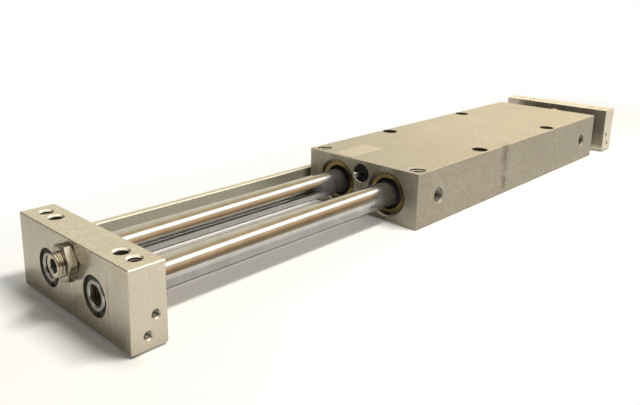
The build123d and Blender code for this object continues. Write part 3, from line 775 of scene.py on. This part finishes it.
BORE_HEIGHT = 18.2 * MM
ROD_OFFSET = 20.5 * MM
SIDE_PORT_SETBACK = 23.5 * MM
SIDE_PORT_MOUTH = 0.9 * MM
SIDE_PORT_DEPTH = 8.0 * MM
TOP_HOLE_SETBACK = 7.25 * MM
TOP_HOLE_OFFSET = 38.7 * MM
TOP_HOLE_MOUTH = 0.5 * MM
TOP_HOLE_DEPTH = 9.4 * MM
ROD_PORT_MOUTH = 0.5 * MM
ROD_PORT_DEPTH = 9.4 * MM
PLATE_HOLE_OFFSET = 38.9 * MM
PLATE_HOLE_MOUTH = 0.8 * MM
PLATE_HOLE_DEPTH = 11.0 * MM
END_HOLE_MOUTH = 0.7 * MM
END_HOLE_DEPTH = 7.0 * MM
END_HOLES = {"upper": (12.3 * MM, 15.75 * MM), "lower": (8.1 * MM, 7.45 * MM)}


def make_threads(finishes):
    """Threads in every tapped hole that can be seen into."""
    # Threads take the dark copy of their finish where they are painted shaded and the light copy where
    # they are painted lit.
    dull, bright = finishes["thread"], finishes["painted_lit_thread"]
    low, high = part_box("housing")
    for end_name, end in ENDS.items():
        mouth = (end * (high.x - SIDE_PORT_SETBACK), low.y + SIDE_PORT_MOUTH, BORE_HEIGHT)
        thread_ridge(
            f"{end_name}_side_port_thread", mouth, (0, -1, 0), PORT_THREAD, SIDE_PORT_DEPTH, bright,
            "housing")
        plate_low, plate_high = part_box(f"{end_name}_plate")
        outer_x = plate_low.x if end < 0 else plate_high.x
        for hole_name, (setback, height) in END_HOLES.items():
            mouth = (outer_x - end * setback, plate_low.y + END_HOLE_MOUTH, height)
            thread_ridge(
                f"{end_name}_{hole_name}_end_thread", mouth, (0, -1, 0), END_THREAD, END_HOLE_DEPTH,
                bright, "carriage")
    for side_name, side in SIDES.items():
        mouth = (low.x + TOP_HOLE_SETBACK, side * TOP_HOLE_OFFSET, high.z - TOP_HOLE_MOUTH)
        thread_ridge(
            f"{side_name}_top_thread", mouth, (0, 0, 1), TOP_THREAD, TOP_HOLE_DEPTH, bright,
            "housing")
        for end_name, end in ENDS.items():
            rod_low, rod_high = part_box(f"{side_name}_{end_name}_rod")
            tip = rod_low.x if end < 0 else rod_high.x
            mouth = (tip - end * ROD_PORT_MOUTH, side * ROD_OFFSET, BORE_HEIGHT)
            thread_ridge(
                f"{side_name}_{end_name}_rod_thread", mouth, (end, 0, 0), PORT_THREAD, ROD_PORT_DEPTH,
                dull, "carriage")
            plate_low, plate_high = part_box(f"{end_name}_plate")
            plate_x = (plate_low.x + plate_high.x) / 2
            mouth = (plate_x, side * PLATE_HOLE_OFFSET, plate_high.z - PLATE_HOLE_MOUTH)
            thread_ridge(
                f"{side_name}_{end_name}_plate_thread", mouth, (0, 0, 1), PLATE_THREAD,
                PLATE_HOLE_DEPTH, dull, "carriage")


# Floor, on which TINT_FROM to TINT_FULL and CONTACT_FROM to CONTACT_FULL lie along X by the front plate
FLOOR_HALF_SIZE = 6.0
FLOOR_COLOUR = (0.92, 0.90, 0.855)
# Darker, warmer floor in front of the front plate: painted shade, which the plate's front also mirrors.
FLOOR_SHADE_TINT = (0.90, 0.87, 0.80)
FLOOR_ROUGHNESS = 0.6
FLOOR_SPECULAR = 0.2
TINT_FROM = -0.335
TINT_FULL = -0.46
# Painted contact shadow where the front plate stands over the floor.
CONTACT_SHADE_TONE = (0.19, 0.17, 0.14)
CONTACT_REACH = 0.015
CONTACT_OPEN = 0.97
CONTACT_CLOSED = 0.45
CONTACT_FROM = -0.332
CONTACT_FULL = -0.342
# Painted shade on the floor as mirrors see it, stronger under the rods.
MIRRORED_SHADE_TONE = (0.30, 0.275, 0.235)
MIRRORED_SHARE = 0.17
MIRRORED_SHARE_UNDER_RODS = 0.57
GLOW_TONE = (1.0, 1.0, 0.99)
# Painted light: more glow, warmer under the rods, lifts the shadows under the rods and beside the front
# plate's far end.
GLOW_TONE_UNDER_RODS = (1.0, 0.94, 0.83)
GLOW_NEAR = 0.125
GLOW_UNDER_RODS = 0.27
GLOW_LEFT_OF_PLATE = 0.30
GLOW_FROM = 0.014
GLOW_FULL = 0.11
UNDER_RODS = {"Low": (-0.325, -0.045, -0.01), "High": (-0.150, 0.045, 0.01), "Border": 0.02}
LEFT_OF_PLATE = {"Low": (-0.42, 0.052, -0.01), "High": (-0.25, 0.16, 0.01), "Border": 0.03}
CARRIED_HALF_SIZE = (0.34, 0.055, 0.0)


def pale_floor(name):
    """Floor with the object's shadow near it, which fades to plain white away from it; near the object
    painted shade darkens it and painted light lifts some shadows.
    """
    material, wiring, shader = new_finish(name, roughness=FLOOR_ROUGHNESS)
    wiring.feed(shader.inputs["Specular IOR Level"], FLOOR_SPECULAR)
    rays = wiring.node("ShaderNodeLightPath").outputs
    place = wiring.place()
    forward = wiring.along(place, "X")
    under_rods = wiring.mask(BOX_REGION, UNDER_RODS)

    # Painted contact shadow along the front plate's foot.
    closed = wiring.spread(wiring.openness(CONTACT_REACH), CONTACT_OPEN, CONTACT_CLOSED)
    contact_shade = wiring.math("MULTIPLY", closed, wiring.spread(forward, CONTACT_FROM, CONTACT_FULL))
    # Painted shade in front of the front plate.
    tone = wiring.mix(wiring.spread(forward, TINT_FROM, TINT_FULL), FLOOR_COLOUR, FLOOR_SHADE_TINT)
    tone = wiring.mix(contact_shade, tone, CONTACT_SHADE_TONE)
    # Painted shade on the floor that only mirrors see.
    mirrored_share = wiring.spread(under_rods, 0.0, 1.0, MIRRORED_SHARE, MIRRORED_SHARE_UNDER_RODS)
    tone = wiring.cover(tone, MIRRORED_SHADE_TONE, rays["Is Glossy Ray"], mirrored_share)
    wiring.feed(shader.inputs["Base Color"], tone)

    spread_out = wiring.vector("ABSOLUTE", [place])
    beyond = wiring.vector("SUBTRACT", [spread_out, CARRIED_HALF_SIZE])
    away = wiring.vector("LENGTH", [wiring.vector("MAXIMUM", [beyond, (0.0, 0.0, 0.0)])], "Value")
    # Painted light that lifts the shadows under the rods and beside the front plate's far end.
    near_glow = wiring.spread(under_rods, 0.0, 1.0, GLOW_NEAR, GLOW_UNDER_RODS)
    left_glow = wiring.math("MULTIPLY", wiring.mask(BOX_REGION, LEFT_OF_PLATE), GLOW_LEFT_OF_PLATE)
    near_glow = wiring.math("MAXIMUM", near_glow, left_glow)
    glow = wiring.spread(away, GLOW_FROM, GLOW_FULL, near_glow, 1.0)
    glow = wiring.math("MULTIPLY", glow, wiring.math("SUBTRACT", 1.0, contact_shade))
    seen = wiring.math("MULTIPLY", glow, rays["Is Camera Ray"])
    glow_tone = wiring.mix(under_rods, GLOW_TONE, GLOW_TONE_UNDER_RODS)
    white = wiring.node("ShaderNodeEmission", {"Color": glow_tone, "Strength": 1.0})
    mixed = wiring.node("ShaderNodeMixShader", {0: seen, 1: shader.outputs[0], 2: white.outputs[0]})
    wiring.feed(material.node_tree.nodes["Material Output"].inputs["Surface"], mixed.outputs[0])
    return material


def make_floor():
    """Wide flat floor under the cylinder."""
    shape = bmesh.new()
    bmesh.ops.create_grid(shape, x_segments=8, y_segments=8, size=FLOOR_HALF_SIZE)
    mesh = bpy.data.meshes.new("floor")
    shape.to_mesh(mesh)
    shape.free()
    mesh.materials.append(pale_floor("pale_floor"))
    floor = bpy.data.objects.new("floor", mesh)
    bpy.context.scene.collection.objects.link(floor)


# Light
WORLD_STRENGTH = 0.16
WORLD_COLOUR = (1.0, 0.985, 0.95)
BACKGROUND_COLOUR = (1.0, 1.0, 0.985)
GLOSS_STRENGTH = 5.0
# Tones that metal mirrors from behind the rear plate: 0 is level on the far side, 0.5 straight
# up, and 1 level on the near side
GLOSS_BANDS = [
    (0.000, (0.190, 0.174, 0.133)),
    (0.280, (0.190, 0.172, 0.128)),
    (0.370, (0.152, 0.118, 0.068)),
    (0.450, (0.152, 0.118, 0.070)),
    (0.500, (0.220, 0.180, 0.120)),
    (0.533, (0.700, 0.690, 0.670)),
    (0.612, (0.700, 0.685, 0.640)),
    (0.655, (0.290, 0.247, 0.187)),
    (0.705, (0.187, 0.142, 0.094)),
    (0.760, (0.180, 0.125, 0.075)),
    (0.815, (0.115, 0.074, 0.041)),
    (0.880, (0.072, 0.049, 0.027)),
    (0.945, (0.080, 0.062, 0.038)),
    (1.000, (0.117, 0.100, 0.068)),
]
BAND_LEAN = 1.05
BAND_LEVEL = 0.62
REAR_GLOW = 1.50
REAR_GLOW_FROM = 0.72
REAR_GLOW_FULL = 0.95
# Tones that metal mirrors from before the front plate: 0 is level, and 1 straight up
FRONT_ROOM = [
    (0.00, (0.040, 0.036, 0.028)),
    (0.46, (0.030, 0.027, 0.021)),
    (0.60, (0.110, 0.102, 0.085)),
    (0.72, (0.300, 0.285, 0.245)),
    (1.00, (0.420, 0.400, 0.360)),
]
FRONT_ROOM_EDGE = 0.35


def make_world():
    """Even light all round; bright metal mirrors a strip behind the object and a dim room in front."""
    world = bpy.data.worlds.new("studio")
    bpy.context.scene.world = world
    world.use_nodes = True
    world.node_tree.nodes.clear()
    wiring = Wiring(world.node_tree)
    direction = wiring.node("ShaderNodeTexCoord").outputs["Generated"]
    parts = wiring.node("ShaderNodeSeparateXYZ", {0: direction}).outputs
    sweep = wiring.math("ARCTAN2", parts["Z"], parts["Y"])
    lean = wiring.math("MULTIPLY", wiring.math("SUBTRACT", parts["X"], BAND_LEVEL), BAND_LEAN)
    leant = wiring.math("ADD", sweep, lean)
    bands = wiring.ramp(wiring.spread(leant, 0.0, math.pi), GLOSS_BANDS)
    rear_glow = wiring.spread(parts["X"], REAR_GLOW_FROM, REAR_GLOW_FULL, 1.0, REAR_GLOW)
    strip = wiring.node("ShaderNodeVectorMath", {0: bands, "Scale": rear_glow}, operation="SCALE")
    room = wiring.ramp(parts["Z"], FRONT_ROOM)
    mirror_tone = wiring.mix(wiring.spread(parts["X"], 0.0, FRONT_ROOM_EDGE), room, strip.outputs[0])
    even = wiring.node("ShaderNodeBackground", {"Color": WORLD_COLOUR, "Strength": WORLD_STRENGTH})
    mirrored = wiring.node("ShaderNodeBackground", {"Color": mirror_tone, "Strength": GLOSS_STRENGTH})
    white = wiring.node("ShaderNodeBackground", {"Color": BACKGROUND_COLOUR, "Strength": 1.0})
    rays = wiring.node("ShaderNodeLightPath").outputs
    lit = wiring.node(
        "ShaderNodeMixShader", {0: rays["Is Glossy Ray"], 1: even.outputs[0], 2: mirrored.outputs[0]})
    seen = wiring.node(
        "ShaderNodeMixShader", {0: rays["Is Camera Ray"], 1: lit.outputs[0], 2: white.outputs[0]})
    output = wiring.node("ShaderNodeOutputWorld")
    wiring.feed(output.inputs["Surface"], seen.outputs[0])


LAMP_COLOUR = (1.0, 0.98, 0.94)
Lamp = namedtuple("Lamp", "place target width height power")
LAMPS = {
    "key_lamp": Lamp(
        place=(0.02, -0.41, 1.00), target=(-0.10, 0.0, 0.0), width=0.50, height=0.17, power=14.5),
    "left_window": Lamp(
        place=(-0.75, 0.95, 0.10), target=(-0.33, 0.0, 0.02), width=0.30, height=0.22, power=0.60),
}


def make_lamps():
    """Soft rectangular lamps, each aimed at a point and kept out of the metal's mirror images."""
    for name, (place, target, width, height, power) in LAMPS.items():
        lamp = bpy.data.lights.new(name, "AREA")
        lamp.shape = "RECTANGLE"
        lamp.size = width
        lamp.size_y = height
        lamp.energy = power
        lamp.color = LAMP_COLOUR
        holder = bpy.data.objects.new(name, lamp)
        bpy.context.scene.collection.objects.link(holder)
        holder.location = place
        holder.rotation_mode = "QUATERNION"
        holder.rotation_quaternion = (Vector(target) - Vector(place)).to_track_quat("-Z", "Y")
        holder.visible_glossy = False


bpy.context.scene.view_settings.view_transform = "Standard"
place_camera()
make_world()
make_lamps()
make_floor()
finishes = make_finishes()
dress(finishes)
for end_name, end in ENDS.items():
    make_stop_bolt(end_name, end, finishes["stop_bolt"], finishes["socket"])
make_threads(finishes)
